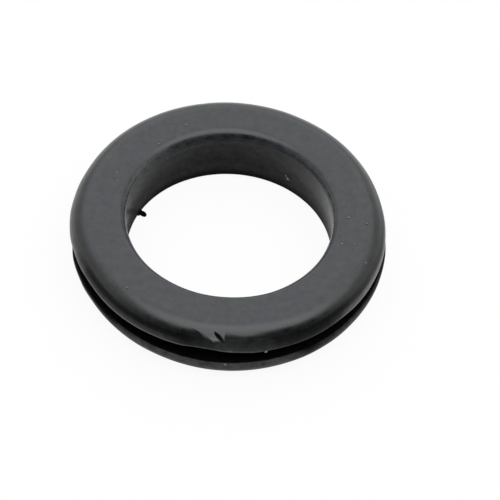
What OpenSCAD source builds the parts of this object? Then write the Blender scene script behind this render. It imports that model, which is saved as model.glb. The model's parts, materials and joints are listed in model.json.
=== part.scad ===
// Open cable grommet: one ring of soft rubber, moulded in one shot. It snaps into a round hole in a sheet
// metal panel, lines the hole's edge and lets a cable pass through its bore. The bore's axis is Z, and the
// lower flange rests on Z = 0. Lengths are in millimetres, and directions are in degrees from +X about Z.

/* [Bore] */
// Diameter of the bore that the cable passes through
bore_d = 19.8; // [17:0.2:21.6]
// Radius that rounds the bore's upper edge
bore_top_r = 0.9; // [0.2:0.1:1.2]
// Radius that rounds the bore's lower edge
bore_bottom_r = 0.5; // [0.2:0.1:1]

/* [Panel groove] */
// Diameter of the groove's floor, which is the diameter of the panel hole
panel_hole_d = 25; // [24:0.25:27]
// Width of the groove between the flanges, which takes the panel's edge
groove_w = 1.7; // [1:0.1:3]
// Fillet radius at the two feet of the groove
groove_foot_r = 0.25; // [0.1:0.05:0.45]

/* [Upper flange] */
// Outer diameter of the upper flange
upper_flange_d = 30.2; // [29:0.2:36]
// Thickness of the upper flange
upper_flange_t = 2.25; // [2.2:0.05:3.5]
// Radius of the upper flange's large outer shoulder
upper_shoulder_r = 2; // [1:0.1:2]

/* [Lower flange] */
// Outer diameter of the lower flange
lower_flange_d = 30; // [29:0.2:36]
// Thickness of the lower flange
lower_flange_t = 2.35; // [2.3:0.05:3.5]
// Radius of the lower flange's large outer shoulder
lower_shoulder_r = 2.1; // [1:0.1:2.1]

/* [Rims] */
// Radius that rounds each flange's edge where the groove opens
rim_edge_r = 0.15; // [0.05:0.05:0.2]

/* [Flash nib] */
// Direction of the nib of flash that is left at the bore's lower edge
nib_angle = 154; // [0:1:359]
// How far the nib reaches into the bore
nib_reach = 0.92; // [0.8:0.02:1.5]
// Length of the nib's swollen end
nib_end_l = 0.6; // [0.5:0.02:0.7]
// Diameter of the nib's swollen end
nib_end_d = 0.44; // [0.4:0.02:0.48]
// Diameter of the nib's neck
nib_neck_d = 0.26; // [0.2:0.02:0.36]
// Diameter of the blob at the nib's root
nib_root_d = 0.42; // [0.38:0.02:0.48]
// How far the blob at the root stands out from the bore
nib_root_l = 0.16; // [0.1:0.02:0.2]

/* [Nicked shoulder] */
// Direction of the middle of the nick in the upper flange's shoulder
nick_angle = -90.8; // [-180:0.2:180]
// How far down the shoulder the nick lies, in degrees from the flat top face
nick_fall = 47; // [35:1:60]
// Turn of the nick's line from straight down the shoulder
nick_turn = 48; // [0:1:90]
// Width of the nick
nick_w = 0.2; // [0.1:0.02:0.4]
// Depth of the nick at its middle
nick_depth = 0.3; // [0.1:0.05:0.5]

/* [Lifted rubber] */
// Thickness of the small lip that stands beside the nick
lip_d = 0.3; // [0.24:0.02:0.36]
// Height of the lip over the shoulder
lip_rise = 0.1; // [0.06:0.02:0.14]
// Thickness of the wide tongue that the nick has pushed up
tongue_d = 1.2; // [1:0.1:1.4]
// Height of the tongue over the shoulder
tongue_rise = 0.22; // [0.1:0.02:0.26]

/* [Hidden] */
$fn = 96;

bore_r = bore_d / 2;
groove_floor_r = panel_hole_d / 2;
upper_r = upper_flange_d / 2;
lower_r = lower_flange_d / 2;
groove_top_z = lower_flange_t + groove_w;
height = groove_top_z + upper_flange_t;

// Air under the nib
nib_air = 0.01;
// Radius of the blade whose edge left the nick
blade_r = 1.5;

// Places of the lip and the tongue from the middle of the nick, and the arcs that they are bent to
lip_shift = 1.6;
lip_fall = nick_fall - 3;
lip_turn = nick_turn - 17;
lip_arc_r = 1.2;
lip_spread = 120;
tongue_shift = -4.3;
tongue_fall = nick_fall - 4;
tongue_turn = nick_turn + 22;
tongue_arc_r = 4;
tongue_spread = 60;

// What a rounding of radius r leaves in the corner of two faces that lie along +X and +Y
module corner_piece(r)
    difference() {
        square(r);
        translate([r, r]) circle(r);
    }

// Half section of the ring: X is the distance from the bore's axis, and Y is the height
module ring_section() {
    difference() {
        union() {
            square([lower_r, lower_flange_t]);
            square([groove_floor_r, height]);
            translate([0, groove_top_z]) square([upper_r, upper_flange_t]);
        }
        square([bore_r, height]);
        translate([bore_r, 0]) corner_piece(bore_bottom_r);
        translate([bore_r, height]) mirror([0, 1]) corner_piece(bore_top_r);
        translate([upper_r, height]) rotate(180) corner_piece(upper_shoulder_r);
        translate([upper_r, groove_top_z]) mirror([1, 0]) corner_piece(rim_edge_r);
        translate([lower_r, lower_flange_t]) rotate(180) corner_piece(rim_edge_r);
        translate([lower_r, 0]) mirror([1, 0]) corner_piece(lower_shoulder_r);
    }
    translate([groove_floor_r, lower_flange_t]) corner_piece(groove_foot_r);
    translate([groove_floor_r, groove_top_z]) mirror([0, 1]) corner_piece(groove_foot_r);
}

module moulded_ring()
    rotate_extrude() ring_section();

// Half outline of a rod of diameter d with round ends, which lies along Y between two heights
module half_rod(d, low, high)
    intersection() {
        union() {
            translate([0, low + d / 2]) circle(d = d);
            translate([0, high - d / 2]) circle(d = d);
            translate([0, low + d / 2]) square([d / 2, high - low - d]);
        }
        translate([0, low]) square([d / 2, high - low]);
    }

// Half section of the nib: Y runs from the bore's wall to the nib's swollen end, and its root is in the ring
module nib_section() {
    half_rod(nib_root_d, -max(bore_bottom_r, nib_root_d), nib_root_l);
    square([nib_neck_d / 2, nib_reach - nib_end_l / 2]);
    half_rod(nib_end_d, nib_reach - nib_end_l, nib_reach);
}

module flash_nib()
    rotate(nib_angle) translate([bore_r, 0, max(nib_end_d, nib_root_d) / 2 + nib_air]) rotate([0, -90, 0])
        rotate_extrude() nib_section();

// Puts its children on the upper flange's shoulder: +Z leaves the rubber, and +X runs down it, less the turn
module on_shoulder(angle, fall, turn)
    rotate(angle) translate([upper_r - upper_shoulder_r, 0, height - upper_shoulder_r])
        rotate([0, fall, 0]) translate([0, 0, upper_shoulder_r]) rotate(turn) children();

// Rod bent into an arc, lying along X with its ends turned down: rise of its thickness d stands above Z = 0
module arched_rod(arc_r, d, rise, spread)
    translate([0, 0, rise - d / 2 - arc_r]) rotate([90, 0, 0])
        rotate_extrude(angle = spread, start = 90 - spread / 2) translate([arc_r, 0]) circle(d = d);

module nick()
    on_shoulder(nick_angle, nick_fall, nick_turn) translate([0, 0, blade_r - nick_depth])
        rotate([90, 0, 0]) cylinder(r = blade_r, h = nick_w, center = true);

module lifted_lip()
    on_shoulder(nick_angle + lip_shift, lip_fall, lip_turn)
        arched_rod(lip_arc_r, lip_d, lip_rise, lip_spread);

module lifted_tongue()
    on_shoulder(nick_angle + tongue_shift, tongue_fall, tongue_turn)
        arched_rod(tongue_arc_r, tongue_d, tongue_rise, tongue_spread);

module grommet()
    color([0.13, 0.13, 0.135])
        difference() {
            union() {
                moulded_ring();
                flash_nib();
                lifted_lip();
                lifted_tongue();
            }
            nick();
        }

grommet();
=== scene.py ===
"""Dresses a moulded rubber grommet: its ring with the nick and the flash nib, its dust and its studio."""

import json
import math
import random

import bmesh
import bpy
import numpy as np
from bpy.props import FloatProperty, FloatVectorProperty, IntProperty, PointerProperty
from bpy.types import NodeSocket, Operator, Panel, PropertyGroup
from mathutils import Matrix, Vector, noise


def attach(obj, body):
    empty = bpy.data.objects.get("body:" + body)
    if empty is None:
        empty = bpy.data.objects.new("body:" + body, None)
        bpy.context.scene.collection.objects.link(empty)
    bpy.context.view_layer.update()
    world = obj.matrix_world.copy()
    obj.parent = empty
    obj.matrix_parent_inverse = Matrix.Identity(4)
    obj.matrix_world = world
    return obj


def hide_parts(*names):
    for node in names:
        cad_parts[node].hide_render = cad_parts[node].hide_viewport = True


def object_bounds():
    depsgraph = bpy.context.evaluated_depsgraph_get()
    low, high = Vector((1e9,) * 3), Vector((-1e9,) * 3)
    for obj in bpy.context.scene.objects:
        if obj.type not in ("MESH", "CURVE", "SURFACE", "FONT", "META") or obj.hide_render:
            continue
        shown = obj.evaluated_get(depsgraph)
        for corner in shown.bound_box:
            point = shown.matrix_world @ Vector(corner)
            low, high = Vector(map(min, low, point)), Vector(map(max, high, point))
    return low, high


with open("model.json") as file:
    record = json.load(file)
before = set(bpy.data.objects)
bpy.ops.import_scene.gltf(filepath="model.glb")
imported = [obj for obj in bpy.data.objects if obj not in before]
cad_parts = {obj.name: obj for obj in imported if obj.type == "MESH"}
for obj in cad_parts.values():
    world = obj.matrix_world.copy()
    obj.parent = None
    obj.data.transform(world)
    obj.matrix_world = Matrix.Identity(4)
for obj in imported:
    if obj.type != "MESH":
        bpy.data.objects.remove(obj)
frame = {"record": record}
CAD_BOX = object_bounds()

bl_info = {
    "name": "Rubber Cable Grommet",
    "version": (1, 0, 0),
    "blender": (4, 5, 0),
    "location": "View3D > Sidebar > Grommet",
    "description": "Finishes a moulded rubber cable grommet around its CAD solid",
    "category": "Object",
}

MM = 0.001
NODE = "grommet"
BODY = "root"

BORE = next(mount for mount in frame["record"]["mounts"] if mount["name"] == "bore")
BORE_DIAMETER = 2 * BORE["dims"]["r_mm"]
OUTER_DIAMETER = (CAD_BOX[1].x - CAD_BOX[0].x) / MM
HEIGHT = (CAD_BOX[1].z - CAD_BOX[0].z) / MM
UP = np.array([0.0, 0.0, 1.0])

# How far the soft moulding drifts off a true circle, as direction in degrees and extra size in mm: the
# rounding of the bore's upper edge, the rims of both flanges, and the upper shoulder's width over its height
BORE_EDGE_DRIFT = [
    (-150, -0.05), (-117, -0.28), (-90, -0.3), (-60, -0.14), (-20, -0.05), (30, 0), (60, 0),
    (90, 0.26), (120, 0.3), (150, 0.3), (180, 0.12),
]
UPPER_RIM_DRIFT = [
    (-172, 0.08), (-160, -0.04), (-148, -0.14), (-131, -0.03), (-120, -0.01), (-108, -0.02), (-98, -0.08),
    (-88, -0.03), (-75, 0.05), (-67, 0.1), (-59, 0.18), (-52, 0.19), (-44, 0.16), (-33, 0.21), (-22, 0.2),
    (-10, 0.2), (3, 0.12), (15, 0.06), (35, 0.08), (50, 0.1), (65, 0.04), (90, 0), (107, -0.06),
    (125, -0.09), (157, -0.12), (170, -0.03), (180, 0.07),
]
LOWER_RIM_DRIFT = [
    (-176, 0.12), (-167, 0.23), (-157, 0.15), (-147, 0.06), (-135, 0.08), (-120, 0.13), (-90, 0.22),
    (-60, 0.14), (-48, 0.09), (-32, 0.03), (-12, 0.06), (0, 0.11), (15, 0.07), (40, 0.05), (150, 0.05),
]
SHOULDER_DRIFT = [
    (-165, 0.3), (-150, 0.4), (-125, 0.1), (-110, 0.1), (-98, 0), (-60, 0), (-48, 0.12), (-35, 0.4),
    (-22, 0.5), (-8, 0.45), (15, 0.2), (40, 0), (150, 0),
]

# How far the upper flange's lower edge hangs down, as direction in degrees and size in mm
RIM_SAG = [
    (-92, 0), (-84, 0.15), (-76, 0.28), (-68, 0.2), (-58, 0.12), (-48, 0.08), (-40, 0), (180, 0),
]

# Lower edge of the raised rubber, as direction and degrees down the shoulder: the flap runs down to its tip
# and back up to the nick, beyond which the narrow sliver ends at a steep side
FLAP_EDGE = [
    (-102.5, 31), (-99.8, 35), (-96.8, 44.5), (-93.9, 54.5), (-92.6, 60), (-91.9, 61.5),
    (-91.3, 60.5), (-90.6, 59), (-89.2, 58.5), (-88.2, 55), (-87.8, 38),
]

# How the finish changes around the ring, as direction in degrees and value: the specular level of the upper
# rim and of its edge, and the painted sheen (painted highlights and reflections) on the bore's upper edge,
# rim's edge and lower flange
RIM_GLOSS = [
    (-172, 0.75), (-165, 0.6), (-157, 0.28), (-150, 0.09), (-140, 0.07), (-125, 0.09), (-114, 0.08),
    (-102, 0.033), (-97, 0.06), (-90, 0.1), (-68, 0.06), (-50, 0.05), (-43, 0.09), (-36, 0.22),
    (-22, 0.3), (0, 0.22), (90, 0.17), (150, 0.25), (160, 0.45), (170, 0.75), (180, 0.8),
]
EDGE_GLOSS = [
    (-160, 0.4), (-125, 0.68), (-90, 0.32), (-66, 0.1), (-48, 0.12), (-38, 0.65), (-22, 0.8), (0, 0.65),
    (120, 0.5), (178, 0.75),
]
LIP_PAINTED_SHEEN = [
    (-150, 0.28), (-90, 0.04), (-30, 0.3), (0, 0.75), (20, 0.65), (40, 0.4), (60, 0.3), (90, 0.06),
    (118, 0.35), (135, 0.8), (150, 1.1), (168, 1), (178, 0.6),
]
EDGE_PAINTED_SHEEN = [
    (-150, 0.12), (-130, 0.36), (-115, 0.5), (-95, 0.35), (-83, 0.62), (-72, 0.42), (-62, 0.03),
    (-45, 0.03), (-36, 0.3), (-20, 0.3), (30, 0.15),
]
FLANGE_PAINTED_SHEEN = [
    (-175, 0.3), (-145, 0), (-137, 0.1), (-129, 0.8), (-120, 1.2), (-68, 1.4), (-62, 0.6), (-57, 0.05),
    (-48, 0.5), (-35, 0.8), (-20, 0.5), (0, 0.3), (170, 0.35),
]

# Painted sheen on the rest of the bore, as painted reflection: its first rows from the foot up, darkest at
# the foot as painted shade, and its wall above them
FOOT_PAINTED_SHEEN = (0.02, 0.14, 0.44, 0.54, 0.5, 0.42)
WALL_PAINTED_SHEEN = 0.36

# The face has a finish of its own, and the others run from dull to glossy in steps of equal ratio
FACE_FINISH = 0
DULLEST_FINISH = 1
GLOSS_RANGE = (0.015, 0.8)
GLOSS_STEPS = 10

# Single grains of dust. On the top face: radius in mm, direction in degrees and size in mm. On the shoulder:
# direction, fall and size. On the rims and in the bore: direction, height in mm and size.
FACE_DUST = [
    (11.75, 159.3, 0.19), (11.37, 163.9, 0.15), (11.46, 2.1, 0.24), (13.39, -0.7, 0.18),
    (14.35, -20.3, 0.17), (11.27, -14.6, 0.19), (12.54, -12.6, 0.15), (11.75, 113.7, 0.21),
    (10.91, 131.9, 0.18), (13.33, -132.6, 0.17),
]
SHOULDER_DUST = [(-108, 34, 0.09), (-75.6, 43, 0.1)]
RIM_DUST = [
    (-88.4, 2.36, 0.28), (-73.1, 3.84, 0.32), (-86, 4.2, 0.1), (-113, 4.2, 0.09), (-104, 2.2, 0.1),
]
BORE_DUST = [(57.5, 2.05, 0.42), (58.9, 2.35, 0.24)]
DUST_SEED = 7

# Level lamps over the bench: name, the studio's brightness for it, place, width and depth in metres
LAMPS = [
    ("softbox", "softbox", (0, 1.875, 1), 2.4, 3.25),
    ("softbox_front", "softbox", (0.335, -0.235, 1), 1.73, 0.97),
    ("front_box", "front_box", (0.175, -0.31, 0.98), 1.45, 0.87),
]


def length(name, description, size):
    """A size, given in millimetres and stored in metres."""
    return FloatProperty(name=name, description=description, default=size * MM, min=0, unit="LENGTH",
                         precision=5)


def angle(name, description, degrees):
    """An angle, given in degrees and stored in radians."""
    return FloatProperty(name=name, description=description, default=math.radians(degrees), subtype="ANGLE",
                         unit="ROTATION")


def colour(name, description, default):
    """A linear colour."""
    return FloatVectorProperty(name=name, description=description, default=default, subtype="COLOR",
                               min=0, max=1)


def number(name, description, default, low=0, high=1):
    """A plain number between two limits."""
    return FloatProperty(name=name, description=description, default=default, min=low, max=high)


class GrommetRing(PropertyGroup):
    """Sizes of the moulded ring."""

    bore_diameter: length("Bore", "Diameter of the cable's bore", BORE_DIAMETER)
    bore_top_edge: length("Upper bore edge", "Mean radius of the bore's upper edge", 0.9)
    unevenness: number("Unevenness", "Share of the moulding's drift off a true circle", 1, high=2)
    bore_bottom_edge: length("Lower bore edge", "Radius of the bore's lower edge", 0.5)
    outer_diameter: length("Upper flange", "Outer diameter of the upper flange", OUTER_DIAMETER)
    height: length("Height", "Height over both flanges", HEIGHT)
    upper_shoulder: length("Upper shoulder", "Radius of the upper flange's outer shoulder", 2)
    lower_diameter: length("Lower flange", "Outer diameter of the lower flange", 30)
    lower_thickness: length("Lower thickness", "Thickness of the lower flange", 2.35)
    lower_shoulder: length("Lower shoulder", "Radius of the lower flange's outer shoulder", 2.1)
    groove_diameter: length("Groove floor", "Diameter of the groove's floor", 25)
    groove_width: length("Groove", "Width of the groove between the flanges", 1.7)
    groove_fillet: length("Groove fillet", "Fillet at both feet of the groove", 0.25)
    rim_edge: length("Rim edge", "Radius of each flange's edge where the groove opens", 0.15)
    ripple: length("Ripple", "Height of the moulded faces' soft unevenness", 0.012)
    lean: length("Lean", "How far the ring's bottom lies off to +X from its top", 0.18)
    upper_offset: length("Upper offset", "How far the upper flange was moulded off to -X", 0.19)


class GrommetNick(PropertyGroup):
    """The nick in the upper shoulder and the rubber that it has raised."""

    direction: angle("Direction", "Direction of the nick about the bore", -90.1)
    fall: angle("Fall", "How far down the shoulder the nick lies", 49)
    turn: angle("Turn", "Turn of the nick's line from straight down the shoulder", 47)
    length: length("Length", "Length of the nick", 1.34)
    width: length("Width", "Width of the nick", 0.36)
    depth: length("Depth", "Depth of the nick at its middle", 0.2)
    flap_height: length("Flap height", "Height of the raised rubber at its tip", 0.33)
    swell_direction: angle("Swelling", "Direction of the swelling beside the nick", -80)
    swell_height: length("Swelling height", "Height of that swelling", 0.06)
    dent: length("Rim dent", "How far the rim is pushed up under the flap", 0.13)


class GrommetNib(PropertyGroup):
    """The nib of flash at the bore's lower edge."""

    direction: angle("Direction", "Direction of the nib about the bore", 154)
    height: length("Height", "Height of the nib's root over the bench", 0.24)
    reach: length("Reach", "How far the nib stands into the bore", 0.83)
    turn: angle("Turn", "Turn of the nib from straight inwards", 3)
    root: length("Root", "Diameter of the blob at the nib's root", 0.78)
    neck: length("Neck", "Diameter of the nib's neck", 0.34)
    end: length("End", "Diameter of the nib's swollen end", 0.52)
    end_length: length("End length", "Length of the nib's swollen end", 0.74)
    sag: length("Sag", "How far the nib's end hangs under its root", 0.11)


class GrommetRubber(PropertyGroup):
    """Finish of the rubber."""

    base: colour("Rubber", "Colour of the carbon-black rubber", (0.0085, 0.01, 0.0155))
    base_green: colour("Greenish rubber", "Colour that it drifts to in patches", (0.008, 0.0115, 0.0135))
    bloom: colour("Bloom", "Colour of the thin wax bloom in its clouds", (0.0235, 0.026, 0.0335))
    bloom_green: colour("Greenish bloom", "Colour that it drifts to in patches", (0.02, 0.0265, 0.0275))
    dust: colour("Dust", "Colour of the fine dust", (0.235, 0.24, 0.235))
    # Colours of painted shade: the dark rubber shown in the bore, the groove, down the shoulder, on the lower
    # flange and in the nick
    painted_shade: colour("Bare rubber", "Colour of the rubber where it has no bloom", (0.0026, 0.0031, 0.0029))
    painted_shade_clouds: colour("Bare clouds", "Colour of the paler clouds there", (0.005, 0.0057, 0.0053))
    # Pale colour of the painted sheen: painted highlights and reflections on the rims, the bore's wall and
    # edges
    painted_sheen: colour("Worn rubber", "Colour of the rubbed rims, wall and edges", (0.08, 0.083, 0.079))
    face_gloss: number("Face gloss", "Specular level of the face and its shoulder", 0.7)
    face_roughness: number("Face roughness", "Roughness of the face and its shoulder", 0.3)
    bore_gloss: number("Bore gloss", "Specular level of the bore's wall at its top", 0.11)
    foot_gloss: number("Foot gloss", "Specular level of the bore's foot and the groove", 0.015)
    flange_gloss: number("Flange gloss", "Specular level of the lower flange", 0.02)
    mould_roughness: number("Mould roughness", "Highest roughness of bore, groove and rims", 0.55)
    polish: number("Polish", "Change of roughness where rims and bore are smoothest", -0.25, -0.5, 0)


class GrommetDust(PropertyGroup):
    """Dust on the rubber."""

    size: number("Size", "Size of the grains as a share of their real size", 1, 0.1, 3)
    scattered: IntProperty(name="Scattered", description="Number of the smallest grains", default=26, min=0)


class GrommetStudio(PropertyGroup):
    """Camera and light."""

    elevation: angle("Elevation", "Height of the camera over the horizon", 51.06)
    roll: angle("Roll", "Roll of the camera", 3.69)
    distance: length("Distance", "Distance of the camera from what it aims at", 500)
    lens: number("Lens", "Focal length in millimetres", 372, 1, 1000)
    aim: FloatVectorProperty(name="Aim", description="Point at the middle of the frame", unit="LENGTH",
                             subtype="TRANSLATION", precision=5,
                             default=(2.174 * MM, 0.471 * MM, 0.381 * MM))
    softbox: number("Softbox", "Brightness of the wide overhead softbox", 0.62, high=10)
    front_box: number("Front box", "Brightness added by the box over the front", 0.9, high=10)
    surroundings: number("Surroundings", "Brightness of the room's walls", 0.72, high=10)
    floor_white: number("Floor white", "Share of plain white in the floor's look", 0.93)


# The ring's section


def stretch(start, end, steps, normal):
    """Straight stretch of the section, without its end point: rows of r, z and outward normal."""
    share = np.linspace(0, 1, steps, endpoint=False)[:, None]
    points = start + share * np.subtract(end, start)
    return np.hstack([points, np.tile(normal, (steps, 1))])


def bend(centre, radius, start, end, steps, hollow=False):
    """Round stretch of the section from one angle to another in degrees, without its end point."""
    turn = np.radians(np.linspace(start, end, steps, endpoint=False))
    out = np.stack([np.cos(turn), np.sin(turn)], axis=1)
    return np.hstack([centre + radius * out, -out if hollow else out])


def ring_section(ring, lip, widening):
    """The closed section's rows, and the number of each stretch's first row.

    It goes up the bore, out over the top, down the groove and back under the bottom. The bore's upper edge is
    rounded to the radius lip, and the upper shoulder is wider than high by the widening.
    """
    bore = ring.bore_diameter / 2
    edge = ring.bore_bottom_edge
    upper = ring.outer_diameter / 2
    lower = ring.lower_diameter / 2
    web = ring.groove_diameter / 2
    top = ring.height
    shelf = ring.lower_thickness
    ceiling = shelf + ring.groove_width
    shoulder = ring.upper_shoulder
    foot = ring.lower_shoulder
    rim = ring.rim_edge
    fillet = ring.groove_fillet
    lip_centre = (bore + lip, top - lip)
    shoulder_centre = (upper - shoulder, top - shoulder)
    stretches = {
        "bore": stretch((bore, edge), (bore, top - lip), 14, (-1, 0)),
        "bore_lip": bend(lip_centre, lip, 180, 160, 6),
        "bore_top": bend(lip_centre, lip, 160, 90, 20),
        "face": stretch((bore + lip, top), (upper - shoulder - widening, top), 14, (0, 1)),
        "shoulder_start": bend(shoulder_centre, shoulder, 90, 66, 8),
        "shoulder": bend(shoulder_centre, shoulder, 66, 39, 27),
        "shoulder_foot": bend(shoulder_centre, shoulder, 39, 18, 20),
        "shoulder_end": bend(shoulder_centre, shoulder, 18, 0, 6),
        "rim": stretch((upper, top - shoulder), (upper, ceiling + rim), 2, (1, 0)),
        "rim_edge": bend((upper - rim, ceiling + rim), rim, 0, -90, 4),
        "ceiling": stretch((upper - rim, ceiling), (web + fillet, ceiling), 6, (0, -1)),
        "ceiling_fillet": bend((web + fillet, ceiling - fillet), fillet, 90, 180, 4, hollow=True),
        "web": stretch((web, ceiling - fillet), (web, shelf + fillet), 3, (1, 0)),
        "shelf_fillet": bend((web + fillet, shelf + fillet), fillet, 180, 270, 4, hollow=True),
        "shelf": stretch((web + fillet, shelf), (lower - 2 * rim, shelf), 6, (0, 1)),
        "shelf_end": stretch((lower - 2 * rim, shelf), (lower - rim, shelf), 2, (0, 1)),
        "shelf_edge": bend((lower - rim, shelf - rim), rim, 90, 0, 4),
        "lower_rim": stretch((lower, shelf - rim), (lower, foot), 2, (1, 0)),
        "lower_shoulder": bend((lower - foot, foot), foot, 0, -90, 24),
        "bottom": stretch((lower - foot, 0), (bore + edge, 0), 8, (0, -1)),
        "bore_bottom": bend((bore + edge, edge), edge, 270, 180, 12),
    }
    first = {}
    count = 0
    for name, part in stretches.items():
        first[name] = count
        count += len(part)
        if name.startswith("shoulder"):
            part[:, 0] -= widening * (1 - part[:, 2])
    return np.vstack(list(stretches.values())), first


def directions(coarse, zones):
    """Directions of the section's copies, from -180 degrees, in coarse steps and fine ones in the zones."""
    hair = 1e-6
    found = []
    here = -180
    while here < 180 - hair:
        found.append(here)
        step = next((fine for start, end, fine in zones if start - hair <= here < end - hair), coarse)
        ahead = [start for start, end, fine in zones if here < start - hair < here + step]
        here = min([here + step, *ahead])
    return np.radians(found)


# What happened to the ring


def outwards(azimuth):
    """Unit vector away from the bore's axis, for one direction or many in radians."""
    return np.stack([np.cos(azimuth), np.sin(azimuth), np.zeros_like(azimuth)], axis=-1)


def ease(low, high, value):
    """Smooth step from 0 at low to 1 at high."""
    t = np.clip((value - low) / (high - low), 0, 1)
    return t * t * (3 - 2 * t)


def window(low, full, fading, high, value):
    """Smooth window: 1 from full to fading, and 0 below low and above high."""
    return ease(low, full, value) * (1 - ease(fading, high, value))


def along_table(table, azimuth):
    """Value of a table at a direction, in a smooth run around the ring."""
    places, values = np.array(table).T
    places = [places[-1] - 360, *places, places[0] + 360]
    values = np.array([values[-1], *values, values[0]])
    place = np.interp(np.degrees(azimuth), places, np.arange(len(values)))
    before = np.minimum(place.astype(int), len(values) - 2)
    return values[before] + (values[before + 1] - values[before]) * ease(0, 1, place - before)


def drift(ring, table, azimuth):
    """Drift of the soft moulding at a direction, in metres."""
    return ring.unevenness * MM * along_table(table, azimuth)


def flap_edge(azimuth, beside):
    """How many degrees down the shoulder the raised rubber reaches, with a value for beside it."""
    places, falls = np.array(FLAP_EDGE).T
    return np.interp(np.degrees(azimuth), places, falls, left=beside, right=beside)


def raised_rubber(nick, azimuth, fall):
    """Height of the flap and the sliver beside the nick, over the shoulder."""
    start, lowest = 30, 64.5
    above, below = 1.5, 3.5
    edge = flap_edge(azimuth, start)
    climb = np.clip((fall - start) / (lowest - start), 0, None) ** 2
    return nick.flap_height * climb * (1 - ease(edge - above, edge + below, fall))


def swollen_rubber(nick, azimuth, fall):
    """Height of the swelling on one side of the nick, over the shoulder."""
    width, middle, reach = 6.5, 56, 24
    along = (np.degrees(azimuth) - math.degrees(nick.swell_direction)) / width
    down = np.clip((fall - middle) / reach, -1, 1)
    return nick.swell_height * np.exp(-along ** 2) * 0.5 * (1 + np.cos(math.pi * down))


def rim_dent(nick, ring, azimuth, points):
    """How far the upper flange's lower edge is pushed up under the flap, or hangs down beside it."""
    ceiling = ring.lower_thickness + ring.groove_width
    outer = ring.outer_diameter / 2
    far_in, near_in, near_up, far_up = 1.3 * MM, 0.5 * MM, 0.05 * MM, 0.65 * MM
    near_edge = ease(outer - far_in, outer - near_in, np.hypot(points[:, 0], points[:, 1]))
    near_edge *= 1 - ease(ceiling + near_up, ceiling + far_up, points[:, 2])
    near_edge *= points[:, 2] > ceiling - 0.01 * MM
    pushed = nick.dent * window(-104, -99, -94, -89, np.degrees(azimuth))
    return near_edge * (pushed - drift(ring, RIM_SAG, azimuth))


def nick_depth(nick, ring, azimuth, fall):
    """Depth of the nick under the shoulder, and a mask of its torn faces from 0 to 1."""
    deepest, outermost = 0.1, 1.3
    radius = ring.outer_diameter / 2 - ring.upper_shoulder * (1 - math.sin(nick.fall))
    along_rim = (azimuth - nick.direction) * radius
    down = (np.radians(fall) - nick.fall) * ring.upper_shoulder
    line = along_rim * math.sin(nick.turn) + down * math.cos(nick.turn)
    across = along_rim * math.cos(nick.turn) - down * math.sin(nick.turn)
    reach = np.clip(1 - (2 * line / nick.length) ** 2, 0, 1)
    half = nick.width / 2 * np.sqrt(reach) + 1e-9
    cut = (1 - ease(deepest, outermost, np.abs(across) / half)) * (reach > 0)
    return nick.depth * np.sqrt(reach) * cut, cut


def place_on_flanges(ring, section, bore_margin, rim_margin):
    """How far each row lies out on the flanges, and up from the lower flange to the upper, from 0 to 1."""
    out = ease(ring.bore_diameter / 2 + bore_margin, ring.outer_diameter / 2 - rim_margin, section[:, 0])
    above = ease(ring.lower_thickness, ring.lower_thickness + ring.groove_width, section[:, 1])
    return out, above


def flange_drift(ring, azimuth, section):
    """Extra radius of the flanges, which fades out towards the bore and the groove's floor."""
    out, above = place_on_flanges(ring, section, 1.6 * MM, 1.6 * MM)
    upper = drift(ring, UPPER_RIM_DRIFT, azimuth) * above
    lower = drift(ring, LOWER_RIM_DRIFT, azimuth) * (1 - above)
    return out * (upper + lower)


def mould_shift(ring, section):
    """Shift along X: the ring leans a little, and its upper flange is off centre."""
    out, above = place_on_flanges(ring, section, MM, 2 * MM)
    return ring.lean * (1 - section[:, 1] / ring.height) - ring.upper_offset * out * above


def ripple(points, height):
    """Soft unevenness of a moulded face, in wide waves and weaker narrow ones."""
    wide, narrow, narrow_share = 0.22, 0.8, 0.35
    values = np.empty(len(points))
    for index, point in enumerate(points):
        place = Vector(point) / MM
        values[index] = noise.noise(place * wide) + narrow_share * noise.noise(place * narrow)
    return values * height


# The ring's mesh


def add_object(name, data):
    """An object in the scene."""
    made = bpy.data.objects.new(name, data)
    bpy.context.scene.collection.objects.link(made)
    return made


def mesh_object(name, vertices, faces, *materials):
    """A smooth-shaded mesh object in the scene."""
    mesh = bpy.data.meshes.new(name)
    mesh.from_pydata(vertices, [], faces)
    mesh.shade_smooth()
    for material in materials:
        mesh.materials.append(material)
    return add_object(name, mesh)


class Sweep:
    """The section copied around the bore: one point for each direction and each of its rows."""

    def __init__(self, ring, azimuths):
        sections = []
        for azimuth in azimuths:
            lip = ring.bore_top_edge + drift(ring, BORE_EDGE_DRIFT, azimuth)
            rows, self.first = ring_section(ring, lip, drift(ring, SHOULDER_DRIFT, azimuth))
            sections.append(rows)
        self.azimuths = azimuths
        self.rows = rows
        self.section = np.vstack(sections)
        self.around = np.repeat(azimuths, len(rows))
        self.row = np.tile(np.arange(len(rows)), len(azimuths))
        self.lean = np.degrees(np.arctan2(self.section[:, 2], self.section[:, 3]))
        self.on_shoulder = self.within("shoulder_start", "rim")
        self.fall = np.where(self.on_shoulder, self.lean, 0)

    def within(self, start, end=None):
        """Which points lie on the stretches from one up to another, or to the last."""
        return (self.row >= self.first[start]) & (self.row < self.first.get(end, len(self.rows)))

    def vertex(self, i, j):
        """Number of the point at a direction and a row, which both wrap around."""
        return (i % len(self.azimuths)) * len(self.rows) + j % len(self.rows)


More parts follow.
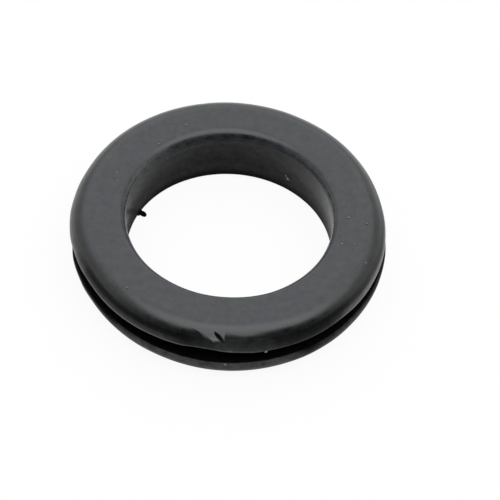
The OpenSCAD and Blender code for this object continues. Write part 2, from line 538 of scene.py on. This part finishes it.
def shape_points(sweep, ring, nick):
    """The points with all that happened to the ring, and the mask of torn rubber."""
    around, section, fall = sweep.around, sweep.section, sweep.fall
    out = outwards(around)
    points = out * section[:, :1] + UP * section[:, 1:2]
    normals = out * section[:, 2:3] + UP * section[:, 3:4]
    depth, torn = nick_depth(nick, ring, around, fall)
    lift = raised_rubber(nick, around, fall) + swollen_rubber(nick, around, fall) - depth
    lift = np.where(sweep.on_shoulder, lift, 0) + ripple(points, ring.ripple)
    lift[section[:, 1] < 1e-6] = 0
    points[:, 2] += rim_dent(nick, ring, around, points)
    points = points + normals * lift[:, None]
    points += out * flange_drift(ring, around, section)[:, None]
    points[:, 0] += mould_shift(ring, section)
    return points, np.where(sweep.on_shoulder, torn, 0)


def nib_radius(nib, distance):
    """Radius of the nib at a distance from the bore's wall: a blob at the root, a neck and a swollen end."""
    blob_length, sharpness = 0.3 * MM, 6
    middle = nib.reach - nib.end_length / 2
    blob = nib.root / 2 * math.sqrt(max(0, 1 - (distance / blob_length) ** 2))
    swelling = nib.end / 2 * math.sqrt(max(0, 1 - (2 * (distance - middle) / nib.end_length) ** 2))
    neck = nib.neck / 2 if distance < middle else 0
    # A soft maximum, so that the three run into each other
    return (blob ** sharpness + swelling ** sharpness + neck ** sharpness) ** (1 / sharpness)


def nib_rings(nib, loop):
    """Rings of points from the loop in the bore's edge to the nib's end, and its last point."""
    steps = 22
    inward = -outwards(nib.direction + nib.turn)
    side = np.cross(UP, inward)
    root = loop.mean(axis=0) * (1 - UP) + UP * nib.height
    turn = np.arctan2((loop - root) @ UP, (loop - root) @ side)
    out = np.outer(np.cos(turn), side) + np.outer(np.sin(turn), UP)
    rings = []
    for step in range(steps):
        # Steps that close up towards the end keep it round
        distance = nib.reach * math.sin(math.pi / 2 * step / steps)
        middle = root + inward * distance - UP * nib.sag * (distance / nib.reach) ** 2
        rings.append(middle + nib_radius(nib, distance) * out)
    return rings, root + inward * nib.reach - UP * nib.sag


def grow_nib(nib, points, loop):
    """The points with the nib's added, and its faces, which close the loop in the bore's edge."""
    rings, tip = nib_rings(nib, points[loop])
    faces = []
    before = loop
    for circle in rings:
        here = range(len(points), len(points) + len(circle))
        points = np.vstack([points, circle])
        for k in range(len(here)):
            ahead = (k + 1) % len(here)
            faces.append((before[k], here[k], here[ahead], before[ahead]))
        before = here
    for k in range(len(before)):
        faces.append((before[k], len(points), before[(k + 1) % len(before)]))
    return np.vstack([points, tip]), faces


def between(low, high, share):
    """Gloss between two glosses, in equal ratios."""
    return low * (high / low) ** share


def gloss_steps(sweep, look):
    """Number of the moulded finish, from dull to glossy, by direction and row."""
    first = sweep.first
    gloss = np.full((len(sweep.azimuths), len(sweep.rows)), look.foot_gloss)
    # The bore's wall is glossier towards its top and on the right
    dull_rows = 2
    right = np.cos(sweep.azimuths)
    shade = np.where(right > 0, 0.55 * right, -0.9 * right ** 8)
    for row in range(first["bore"], first["bore_top"]):
        height = max(0, (row - dull_rows) / (first["bore_lip"] - dull_rows)) ** 0.7
        share = np.clip(height + shade, 0, 1 - 0.1 * np.maximum(right, 0))
        gloss[:, row] = between(look.foot_gloss, look.bore_gloss, share)
    # The shoulder's gloss runs into the rim's over these rows
    fading_rows = 12
    rim = along_table(RIM_GLOSS, sweep.azimuths)
    edge = along_table(EDGE_GLOSS, sweep.azimuths)
    for row in range(first["shoulder_foot"], first["shoulder_end"]):
        share = ease(-1, fading_rows, row - first["shoulder_foot"])
        gloss[:, row] = between(look.face_gloss, rim, share)
    # The rubbed edge is wider on the right, and a little in front on the left
    aside = np.degrees(sweep.azimuths)
    wide = 0.9 * window(-48, -34, 5, 25, aside) + 0.3 * window(-150, -140, -110, -100, aside)
    gloss[:, first["shoulder_end"]:first["rim"]] = between(rim, edge, wide)[:, None]
    gloss[:, first["rim"]:first["ceiling"]] = edge[:, None]
    gloss[:, first["shelf_edge"]:first["bottom"]] = look.flange_gloss
    dull, glossy = GLOSS_RANGE
    return np.clip(np.rint(GLOSS_STEPS * np.log(gloss / dull) / math.log(glossy / dull)), 0, GLOSS_STEPS)


def face_finishes(sweep, look, torn):
    """Number of each face's finish, by direction and row: the top face's, also on the flap, or another."""
    flap_margin, half_torn = 1.5, 0.3
    shape = (len(sweep.azimuths), len(sweep.rows))
    fall = sweep.fall.reshape(shape)
    raised = (fall > 0) & (fall < (flap_edge(sweep.azimuths, 0) + flap_margin)[:, None])
    on_face = sweep.within("bore_top", "shoulder_foot").reshape(shape) | raised
    finishes = np.where(on_face, FACE_FINISH, DULLEST_FINISH + gloss_steps(sweep, look))
    return np.where(torn.reshape(shape) > half_torn, DULLEST_FINISH, finishes).astype(int)


def bloom_and_painted_shade_mask(sweep, painted_front_light):
    """How thick the wax bloom is on the face, and where painted shade replaces it: it thins down the shoulder
    and is little or none in the bore, the groove and on the lower flange, and painted front light lifts it in
    front.
    """
    bloom = np.where(sweep.lean < 0, 1 - 0.15 * ease(60, 88, -sweep.lean), 1 - ease(16, 56, sweep.lean))
    for start, end, value in (("bore", "bore_lip", 0), ("ceiling", "shelf_edge", 0),
                              ("shelf_edge", "bottom", 0.06), ("bottom", "bore_bottom", 0.3),
                              ("bore_bottom", None, 0)):
        bloom[sweep.within(start, end)] = value
    return np.maximum(bloom, 0.2 * painted_front_light)


def painted_sheen_mask(sweep, painted_front_light):
    """How much painted sheen, as painted highlights and reflections, lightens the rubber: the bore's wall,
    its upper edge, the rims and the lower flange.
    """
    first, around = sweep.first, sweep.around
    # The wall's painted reflection rises from its dark foot, which is painted shade, and fades out over the
    # lip. It is weaker on the left, which is painted shade too.
    wall = WALL_PAINTED_SHEEN * (1 - ease(0, 8, np.arange(len(sweep.rows)) - first["bore_top"]))
    wall[:len(FOOT_PAINTED_SHEEN)] = FOOT_PAINTED_SHEEN
    wall = np.tile(wall, len(sweep.azimuths)) * (1 - 0.7 * ease(0.9, 0.98, -np.cos(around)))
    # Painted highlight on the bore's upper edge
    painted_sheen = np.maximum(wall, window(28, 50, 76, 91, -sweep.lean) * along_table(LIP_PAINTED_SHEEN, around))
    # Painted highlight grows down the shoulder towards the rim's edge and lies along the rims' edges, painted
    # front light greys the shoulder in front, and painted highlight lies on the lower flange
    edge_painted_sheen = along_table(EDGE_PAINTED_SHEEN, around)
    towards_edge = np.clip((sweep.row - first["shoulder_end"] + 1) / 5, 0, 1)
    painted_sheen = np.where(sweep.on_shoulder, np.maximum(0.3 * painted_front_light, 0.8 * towards_edge * edge_painted_sheen), painted_sheen)
    painted_sheen = np.where(sweep.within("rim", "ceiling") | (sweep.row == first["ceiling"]), edge_painted_sheen, painted_sheen)
    return np.where(sweep.within("shelf_edge", "bottom"), along_table(FLANGE_PAINTED_SHEEN, around), painted_sheen)


def smooth_mask(sweep):
    """How smooth the moulded rubber is: more so up the bore's wall, and on the rims."""
    rim_smoothness = 0.84
    first, rows = sweep.first, sweep.rows
    smooth = ease(0.8 * MM, 4.5 * MM, np.where(rows[:, 2] < -0.3, rows[:, 1], 0))
    smooth[first["bore_top"]:first["face"]] = 0
    smooth[first["shoulder_foot"]:first["ceiling"]] = rim_smoothness
    smooth[first["shelf_edge"]:first["bottom"]] = rim_smoothness
    return np.tile(smooth, len(sweep.azimuths))


def build_ring(ring, nick, nib, look):
    """The whole moulding as one closed mesh, with its finishes and the masks of its rubber."""
    nib_degrees, nick_degrees = math.degrees(nib.direction), math.degrees(nick.direction)
    azimuths = directions(1, [(nick_degrees - 13, nick_degrees + 7, 0.16),
                              (nib_degrees - 2.4, nib_degrees + 2.4, 0.4)])
    sweep = Sweep(ring, azimuths)
    points, torn = shape_points(sweep, ring, nick)

    # Patch in the bore's lower edge that the nib grows from, and the loop around it
    half_patch = math.radians(2.2)
    i0 = int(np.argmin(np.abs(azimuths - nib.direction + half_patch)))
    i1 = int(np.argmin(np.abs(azimuths - nib.direction - half_patch)))
    j0 = sweep.first["bore_bottom"] + 2
    j1 = len(sweep.rows) - 1
    corners = [(i, j0) for i in range(i0, i1)] + [(i1, j) for j in range(j0, j1)]
    corners += [(i, j1) for i in range(i1, i0, -1)] + [(i0, j) for j in range(j1, j0, -1)]

    vertex = sweep.vertex
    finishes = face_finishes(sweep, look, torn)
    faces, finish = [], []
    for i, j in np.ndindex(finishes.shape):
        if not (i0 <= i < i1 and j0 <= j < j1):
            faces.append((vertex(i, j), vertex(i, j + 1), vertex(i + 1, j + 1), vertex(i + 1, j)))
            finish.append(int(finishes[i, j]))
    points, nib_faces = grow_nib(nib, points, [vertex(i, j) for i, j in corners])
    faces += nib_faces
    finish += [DULLEST_FINISH] * len(nib_faces)

    # The patch's inner points are left out, and nothing lies under the bench
    used = np.zeros(len(points), bool)
    used[[v for face in faces for v in face]] = True
    renumber = np.cumsum(used) - 1
    faces = [tuple(int(renumber[v]) for v in face) for face in faces]
    points[:, 2] = np.maximum(points[:, 2], 0)
    made = mesh_object("grommet_ring", points[used], faces, *ring_materials(look))
    made.data.polygons.foreach_set("material_index", finish)

    # Painted front light: the lower shoulder and rim are greyer in front, falling off sooner on the left to
    # keep painted shade beside the flap
    aside = np.degrees(sweep.around) + 87
    painted_front_light = np.exp(-(aside / np.where(aside < 0, 11, 17)) ** 2) * ease(40, 60, sweep.fall)
    # The bloom mask also carries painted shade, and it and the painted sheen carry painted front light
    masks = {"torn": torn, "painted_sheen": painted_sheen_mask(sweep, painted_front_light), "bloom": bloom_and_painted_shade_mask(sweep, painted_front_light),
             "smooth": smooth_mask(sweep)}
    for name, values in masks.items():
        marks = np.zeros(len(points), np.float32)
        marks[:len(values)] = values
        attribute = made.data.attributes.new(name, "FLOAT", "POINT")
        attribute.data.foreach_set("value", marks[used])
    return made


# The dust's mesh


def grain_of_dust(place, normal, size, seed):
    """Vertices and faces of a small uneven grain, a third of it sunk in the surface."""
    unevenness, waves, flatness, rise = 0.35, 2.2, 0.55, 0.08
    ball = bmesh.new()
    bmesh.ops.create_icosphere(ball, subdivisions=2, radius=size / 2)
    tilt = Vector((0, 0, 1)).rotation_difference(Vector(normal))
    vertices = []
    for corner in ball.verts:
        bulge = noise.noise(corner.co / size * waves + Vector((seed, 0, 0)))
        shape = corner.co * (1 + unevenness * bulge)
        flat = Vector((shape.x, shape.y, flatness * shape.z + rise * size))
        vertices.append(Vector(place) + tilt @ flat)
    faces = [tuple(corner.index for corner in face.verts) for face in ball.faces]
    ball.free()
    return vertices, faces


def dust_spots(ring, dust):
    """Radius, direction, height, fall and size in mm of every grain."""
    outer = ring.outer_diameter / 2
    bore = ring.bore_diameter / 2
    shoulder = ring.upper_shoulder
    spots = [(radius * MM, degrees, ring.height, 0, size) for radius, degrees, size in FACE_DUST]
    for degrees, fall, size in SHOULDER_DUST:
        turn = math.radians(fall)
        spots.append((outer - shoulder * (1 - math.sin(turn)), degrees,
                      ring.height - shoulder * (1 - math.cos(turn)), fall, size))
    for degrees, height, size in RIM_DUST:
        on_upper = height * MM > ring.height / 2
        radius = outer if on_upper else ring.lower_diameter / 2
        radius += drift(ring, UPPER_RIM_DRIFT if on_upper else LOWER_RIM_DRIFT, math.radians(degrees))
        spots.append((radius, degrees, height * MM, 90, size))
    spots += [(bore, degrees, height * MM, -90, size) for degrees, height, size in BORE_DUST]
    chance = random.Random(DUST_SEED)
    for _ in range(dust.scattered):
        radius = chance.uniform(bore + 1.2 * MM, outer - 2.2 * MM)
        spots.append((radius, chance.uniform(-180, 180), ring.height, 0, chance.uniform(0.03, 0.07)))
    return spots


def build_dust(ring, dust, look):
    """All the grains of dust as one mesh."""
    vertices, faces = [], []
    for seed, (radius, degrees, height, fall, size) in enumerate(dust_spots(ring, dust)):
        out, tilt = outwards(math.radians(degrees)), math.radians(fall)
        shift = mould_shift(ring, np.array([[radius, height]]))[0]
        place = radius * out + (shift, 0, height)
        normal = math.sin(tilt) * out + math.cos(tilt) * UP
        corners, sides = grain_of_dust(place, normal, size * dust.size * MM, seed)
        faces += [tuple(len(vertices) + corner for corner in side) for side in sides]
        vertices += corners
    return mesh_object("dust_grains", vertices, faces, dust_material(look))


# Materials


def add_node(tree, kind, x, y, inputs=None, **values):
    """A node at a place in the tree, with its properties set and its inputs set or linked."""
    node = tree.nodes.new(kind)
    node.location = (x, y)
    for name, value in values.items():
        setattr(node, name, value)
    for name, value in (inputs or {}).items():
        if isinstance(value, NodeSocket):
            tree.links.new(value, node.inputs[name])
        else:
            node.inputs[name].default_value = value
    return node


def calculate(tree, x, y, operation, first, second):
    """Math node on two sockets or numbers."""
    return add_node(tree, "ShaderNodeMath", x, y, {0: first, 1: second}, operation=operation).outputs[0]


def map_range(tree, x, y, value, start, end, low=0, high=1):
    """Map Range node from start..end to low..high."""
    inputs = {"Value": value, "From Min": start, "From Max": end, "To Min": low, "To Max": high}
    return add_node(tree, "ShaderNodeMapRange", x, y, inputs).outputs[0]


def colour_mix(tree, x, y, low, high, factor):
    """Mix node from one colour, or output, to another."""
    low, high = (value if isinstance(value, NodeSocket) else (*value, 1) for value in (low, high))
    inputs = {"A": low, "B": high, "Factor": factor}
    return add_node(tree, "ShaderNodeMix", x, y, inputs, data_type="RGBA").outputs["Result"]


def mask(tree, x, y, name):
    """A mask that the mesh carries, such as bloom or painted sheen."""
    return add_node(tree, "ShaderNodeAttribute", x, y, attribute_name=name).outputs["Fac"]


def rubber_grain():
    """Shader group: clouds of bloom, their tint, fine specks and the grain's height on moulded rubber."""
    group = bpy.data.node_groups.new("Rubber grain", "ShaderNodeTree")
    face = group.interface
    face.new_socket("Place", in_out="INPUT", socket_type="NodeSocketVector")
    face.new_socket("Cloud size", in_out="INPUT", socket_type="NodeSocketFloat").default_value = 0.8
    enter = add_node(group, "NodeGroupInput", -900, 0)
    leave = add_node(group, "NodeGroupOutput", 700, 0)
    in_mm = add_node(group, "ShaderNodeVectorMath", -700, 0, {0: enter.outputs["Place"], "Scale": 1 / MM},
                     operation="SCALE").outputs[0]
    per_cloud = calculate(group, -700, 200, "DIVIDE", 1, enter.outputs["Cloud size"])
    clouds = add_node(group, "ShaderNodeTexNoise", -450, 250,
                      {"Vector": in_mm, "Scale": per_cloud, "Detail": 6, "Roughness": 0.66})
    tints = add_node(group, "ShaderNodeTexNoise", -450, 500, {"Vector": in_mm, "Scale": 0.28, "Detail": 2})
    cells = add_node(group, "ShaderNodeTexVoronoi", -450, -50, {"Vector": in_mm, "Scale": 1.3})
    specks = map_range(group, -200, -50, cells.outputs["Distance"], 0.1, 0.03)
    grain = add_node(group, "ShaderNodeTexNoise", -450, -350,
                     {"Vector": in_mm, "Scale": 9, "Detail": 4, "Roughness": 0.65})
    for name, result in (("Cloud", clouds.outputs["Fac"]), ("Tint", tints.outputs["Fac"]),
                         ("Specks", specks), ("Height", grain.outputs["Fac"])):
        face.new_socket(name, in_out="OUTPUT", socket_type="NodeSocketFloat")
        group.links.new(result, leave.inputs[name])
    return group


def new_material(name, inputs):
    """A material, its node tree, and its shader with inputs set."""
    material = bpy.data.materials.new(name)
    material.use_nodes = True
    shader = material.node_tree.nodes["Principled BSDF"]
    for socket, value in inputs.items():
        shader.inputs[socket].default_value = value
    return material, material.node_tree, shader


def add_grain(tree, x):
    """The rubber's grain in a material, laid out by the object's own coordinates."""
    place = add_node(tree, "ShaderNodeTexCoord", x - 200, 0)
    group = bpy.data.node_groups.get("Rubber grain") or rubber_grain()
    return add_node(tree, "ShaderNodeGroup", x, 0, {"Place": place.outputs["Object"]}, node_tree=group)


def rubber_material(name, look, gloss, roughness):
    """Black moulded rubber under clouds of bloom, or dark as painted shade, with painted sheen, faint specks
    and a fine grain.
    """
    nick_shade_strength, torn_dullness, speck_strength, spread = 0.65, 0.25, 0.1, 0.06
    material, tree, shader = new_material(name, {"Specular IOR Level": gloss})
    grain = add_grain(tree, -1500)
    cloud = map_range(tree, -1300, 250, grain.outputs["Cloud"], 0.36, 0.64)
    tint = map_range(tree, -1300, 500, grain.outputs["Tint"], 0.4, 0.6)
    thin = colour_mix(tree, -1100, 500, look.base, look.base_green, tint)
    thick = colour_mix(tree, -1100, 250, look.bloom, look.bloom_green, tint)
    bloomed = colour_mix(tree, -900, 300, thin, thick, cloud)
    # Where the bloom mask is low, the dark colour of painted shade shows instead: in the bore, the groove,
    # down the shoulder and on the lower flange
    painted_shade = colour_mix(tree, -900, 0, look.painted_shade, look.painted_shade_clouds, cloud)
    tone = colour_mix(tree, -700, 300, painted_shade, bloomed, mask(tree, -900, 600, "bloom"))
    # Painted sheen is patchy, the nick's torn faces are darkened as painted shade, and faint specks lie over
    # all
    patches = map_range(tree, -900, 1000, grain.outputs["Cloud"], 0.3, 0.7, 0.3, 1)
    sheen_share = calculate(tree, -700, 600, "MULTIPLY", mask(tree, -900, 800, "painted_sheen"), patches)
    tone = colour_mix(tree, -500, 300, tone, look.painted_sheen, sheen_share)
    # Painted shade in the nick: its torn faces are darkened towards the dark painted-shade colour
    nick_shade = calculate(tree, -500, 800, "MULTIPLY", mask(tree, -700, 900, "torn"), nick_shade_strength)
    tone = colour_mix(tree, -400, 600, tone, look.painted_shade, nick_shade)
    faint = calculate(tree, -700, 0, "MULTIPLY", grain.outputs["Specks"], speck_strength)
    tone = colour_mix(tree, -300, 300, tone, look.dust, faint)
    # Torn faces are duller, and the bore's wall is smoother towards the top, where cables rub it
    low, high = roughness - spread, roughness + spread
    rough = map_range(tree, -900, -200, grain.outputs["Cloud"], 0.3, 0.7, low, high)
    duller = calculate(tree, -700, -300, "MULTIPLY", mask(tree, -900, -300, "torn"), torn_dullness)
    smoother = calculate(tree, -700, -500, "MULTIPLY", mask(tree, -900, -500, "smooth"), look.polish)
    rough = calculate(tree, -500, -300, "ADD", rough, duller)
    rough = calculate(tree, -300, -300, "ADD", rough, smoother)
    bump = add_node(tree, "ShaderNodeBump", -250, -600,
                    {"Strength": 0.12, "Distance": 0.004 * MM, "Height": grain.outputs["Height"]})
    tree.links.new(tone, shader.inputs["Base Color"])
    tree.links.new(rough, shader.inputs["Roughness"])
    tree.links.new(bump.outputs[0], shader.inputs["Normal"])
    return material


def ring_materials(look):
    """The face's finish and then the moulded ones, from dull to glossy."""
    made = [rubber_material("face_rubber", look, look.face_gloss, look.face_roughness)]
    for step in range(GLOSS_STEPS + 1):
        gloss = between(*GLOSS_RANGE, step / GLOSS_STEPS)
        made.append(rubber_material(f"moulded_rubber_{step}", look, gloss, look.mould_roughness))
    return made


def dust_material(look):
    """Pale matt dust, a little uneven in tone."""
    material, tree, shader = new_material("pale_dust", {"Specular IOR Level": 0.2, "Roughness": 0.9})
    grain = add_grain(tree, -700)
    grain.inputs["Cloud size"].default_value = 0.2
    dark = tuple(0.6 * value for value in look.dust)
    tone = colour_mix(tree, -300, 200, dark, look.dust, grain.outputs["Cloud"])
    tree.links.new(tone, shader.inputs["Base Color"])
    return material


# Stage


def floor_material(studio):
    """Pale floor that takes shadows and looks nearly white to the camera, in gloss and through glass."""
    matt = {"Base Color": (0.9, 0.9, 0.9, 1), "Roughness": 0.9, "Specular IOR Level": 0}
    material, tree, shader = new_material("studio_floor", matt)
    rays = add_node(tree, "ShaderNodeLightPath", -700, 300).outputs
    seen = calculate(tree, -500, 300, "MAXIMUM", rays["Is Camera Ray"], rays["Is Glossy Ray"])
    seen = calculate(tree, -300, 300, "MAXIMUM", seen, rays["Is Transmission Ray"])
    share = calculate(tree, -100, 300, "MULTIPLY", seen, studio.floor_white)
    white = add_node(tree, "ShaderNodeEmission", 100, 100)
    inputs = {0: share, 1: shader.outputs[0], 2: white.outputs[0]}
    mix = add_node(tree, "ShaderNodeMixShader", 300, 200, inputs)
    tree.links.new(mix.outputs[0], tree.nodes["Material Output"].inputs["Surface"])
    return material


def card_material(surroundings):
    """Card that is black in front and fades to the room's brightness at both ends."""
    black = {"Base Color": (0.01, 0.01, 0.01, 1), "Specular IOR Level": 0}
    material, tree, shader = new_material("dark_card", {**black, "Emission Strength": surroundings})
    place = add_node(tree, "ShaderNodeTexCoord", -1100, 0)
    sides = add_node(tree, "ShaderNodeSeparateXYZ", -900, 0, {0: place.outputs["Object"]}).outputs
    ends = []
    for y, front, aside in ((200, -0.54, -0.2), (-200, -0.3, 0.2)):
        backwards = map_range(tree, -700, y, sides["Y"], front, 0.02)
        sideways = map_range(tree, -700, 2 * y, sides["X"], 0, aside)
        ends.append(calculate(tree, -500, y, "MULTIPLY", backwards, sideways))
    grey = calculate(tree, -300, 0, "ADD", *ends)
    glow = colour_mix(tree, -100, 0, (0, 0, 0), (1, 1, 1), grey)
    tree.links.new(glow, shader.inputs["Emission Color"])
    return material


def build_card(surroundings):
    """Curved wall beyond the camera that keeps the front dark, highest straight in front."""
    steps, distance, half_turn = 48, 0.62, 92
    top, drop, level_turn, falling_turn = 52, 30, 30, 65
    low, high = [], []
    for k in range(steps + 1):
        aside = half_turn * (2 * k / steps - 1)
        elevation = max(0, top - drop * (max(0, abs(aside) - level_turn) / falling_turn) ** 1.5)
        low.append(distance * outwards(math.radians(aside - 90)))
        high.append(low[-1] + distance * math.tan(math.radians(elevation)) * UP)
    faces = [(k, k + 1, steps + 2 + k, steps + 1 + k) for k in range(steps)]
    return mesh_object("dark_card", low + high, faces, card_material(surroundings))


def add_lamps(studio):
    """The level area lamps, which shine straight down."""
    for name, brightness, place, wide, deep in LAMPS:
        lamp = bpy.data.lights.new(name, "AREA")
        lamp.shape = "RECTANGLE"
        lamp.size = wide
        lamp.size_y = deep
        lamp.energy = getattr(studio, brightness) * math.pi * wide * deep
        add_object(name, lamp).location = place


def add_camera(studio):
    """The camera, which looks down at the front of the ring."""
    camera = bpy.data.cameras.new("camera")
    camera.lens = studio.lens
    camera.sensor_width = 36
    look = Vector((0, math.cos(studio.elevation), -math.sin(studio.elevation)))
    right = Vector((1, 0, 0))
    up = right.cross(look)
    across = right * math.cos(studio.roll) + up * math.sin(studio.roll)
    above = up * math.cos(studio.roll) - right * math.sin(studio.roll)
    turn = Matrix((across, above, -look)).transposed().to_4x4()
    eye = add_object("camera", camera)
    eye.matrix_world = Matrix.Translation(Vector(studio.aim) - look * studio.distance) @ turn
    bpy.context.scene.camera = eye


def build_stage(studio):
    """The floor, the card, the room, the lamps and the camera."""
    corners = [(-3, -3, 0), (3, -3, 0), (3, 3, 0), (-3, 3, 0)]
    floor = mesh_object("studio_floor", corners, [(0, 1, 2, 3)], floor_material(studio))
    card = build_card(studio.surroundings)
    card.visible_camera = False
    world = bpy.data.worlds.new("studio")
    world.use_nodes = True
    room = world.node_tree.nodes["Background"]
    room.inputs["Color"].default_value = (1, 1, 1, 1)
    room.inputs["Strength"].default_value = studio.surroundings
    bpy.context.scene.world = world
    add_lamps(studio)
    add_camera(studio)
    bpy.context.scene.view_settings.view_transform = "Standard"


class GROMMET_OT_ring(Operator):
    """Model the moulded ring with its nicked shoulder and its flash nib"""

    bl_idname = "grommet.ring"
    bl_label = "Moulded ring"

    def execute(self, context):
        scene = context.scene
        made = build_ring(scene.grommet_ring, scene.grommet_nick, scene.grommet_nib, scene.grommet_rubber)
        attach(made, BODY)
        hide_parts(NODE)
        return {"FINISHED"}


class GROMMET_OT_dust(Operator):
    """Scatter the pale grains of dust over the ring"""

    bl_idname = "grommet.dust"
    bl_label = "Dust"

    def execute(self, context):
        scene = context.scene
        made = build_dust(scene.grommet_ring, scene.grommet_dust, scene.grommet_rubber)
        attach(made, BODY)
        return {"FINISHED"}


class GROMMET_OT_stage(Operator):
    """Set up the floor, the light and the camera"""

    bl_idname = "grommet.stage"
    bl_label = "Studio"

    def execute(self, context):
        build_stage(context.scene.grommet_studio)
        return {"FINISHED"}


class GROMMET_PT_sidebar(Panel):
    """Lists the grommet's operators"""

    bl_label = "Rubber grommet"
    bl_space_type = "VIEW_3D"
    bl_region_type = "UI"
    bl_category = "Grommet"

    def draw(self, context):
        for operator in OPERATORS:
            self.layout.operator(operator.bl_idname)


GROUPS = {
    "grommet_ring": GrommetRing,
    "grommet_nick": GrommetNick,
    "grommet_nib": GrommetNib,
    "grommet_rubber": GrommetRubber,
    "grommet_dust": GrommetDust,
    "grommet_studio": GrommetStudio,
}
OPERATORS = (GROMMET_OT_ring, GROMMET_OT_dust, GROMMET_OT_stage)
CLASSES = (*GROUPS.values(), *OPERATORS, GROMMET_PT_sidebar)


def register():
    """Register the classes and add the grommet's settings to the scene."""
    for cls in CLASSES:
        bpy.utils.register_class(cls)
    for name, group in GROUPS.items():
        setattr(bpy.types.Scene, name, PointerProperty(type=group))


def unregister():
    """Take the settings and the classes away again."""
    for name in GROUPS:
        delattr(bpy.types.Scene, name)
    for cls in reversed(CLASSES):
        bpy.utils.unregister_class(cls)


def main():
    """Build the grommet and its studio."""
    register()
    bpy.ops.grommet.ring()
    bpy.ops.grommet.dust()
    bpy.ops.grommet.stage()


if __name__ == "__main__":
    main()
